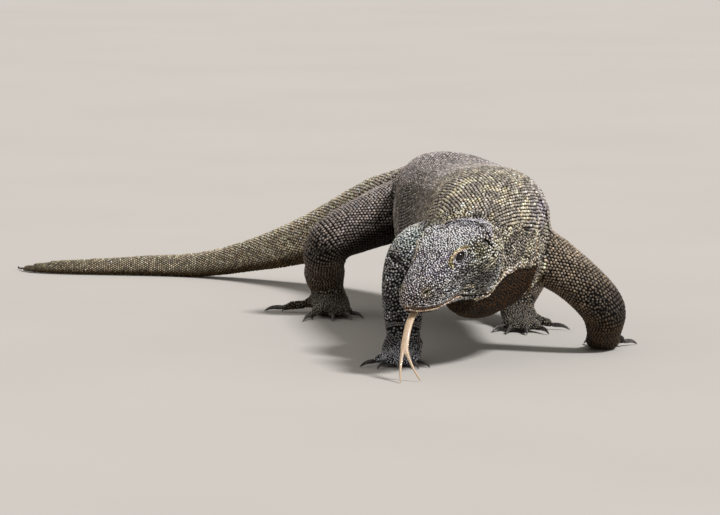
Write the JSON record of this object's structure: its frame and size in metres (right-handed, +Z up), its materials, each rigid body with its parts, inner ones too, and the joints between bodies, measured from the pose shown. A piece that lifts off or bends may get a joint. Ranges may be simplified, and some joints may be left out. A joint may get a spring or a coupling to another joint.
{
  "type": "komodo dragon",
  "caption": "A life-size still model of a walking komodo dragon, head lowered and turned to its right with the forked tongue out, tail laid on the ground.",
  "frame": {"origin": "on the ground plane, below the middle of the model's box", "axes": "the animal walks towards -Y, its right side is at -X, +Z is up"},
  "size_m": [1.0096, 1.597, 0.276],
  "materials": {
    "skin": "matt scaly hide, grey-brown with pale scale centres",
    "eye": "wet dark eye",
    "tongue": "moist pale buff",
    "claw": "smooth dark horn"
  },
  "bodies": {
    "root": {"head": "skin", "lower_jaw": "skin", "neck": "skin", "trunk": "skin", "tail_base": "skin", "tail_middle": "skin", "tail_end": "skin", "right_upper_arm": "skin", "right_forearm": "skin", "right_hand": "skin", "left_upper_arm": "skin", "left_forearm": "skin", "left_hand": "skin", "right_thigh": "skin", "right_shank": "skin", "right_foot": "skin", "left_thigh": "skin", "left_shank": "skin", "left_foot": "skin", "left_eye": "eye", "right_eye": "eye", "tongue": "tongue", "right_hand_claw_1": "claw", "right_hand_claw_2": "claw", "right_hand_claw_3": "claw", "right_hand_claw_4": "claw", "right_hand_claw_5": "claw", "right_foot_claw_1": "claw", "right_foot_claw_2": "claw", "right_foot_claw_3": "claw", "right_foot_claw_4": "claw", "right_foot_claw_5": "claw", "left_hand_claw_1": "claw", "left_hand_claw_2": "claw", "left_hand_claw_3": "claw", "left_hand_claw_4": "claw", "left_hand_claw_5": "claw", "left_foot_claw_1": "claw", "left_foot_claw_2": "claw", "left_foot_claw_3": "claw", "left_foot_claw_4": "claw", "left_foot_claw_5": "claw"}
  },
  "joints": []
}
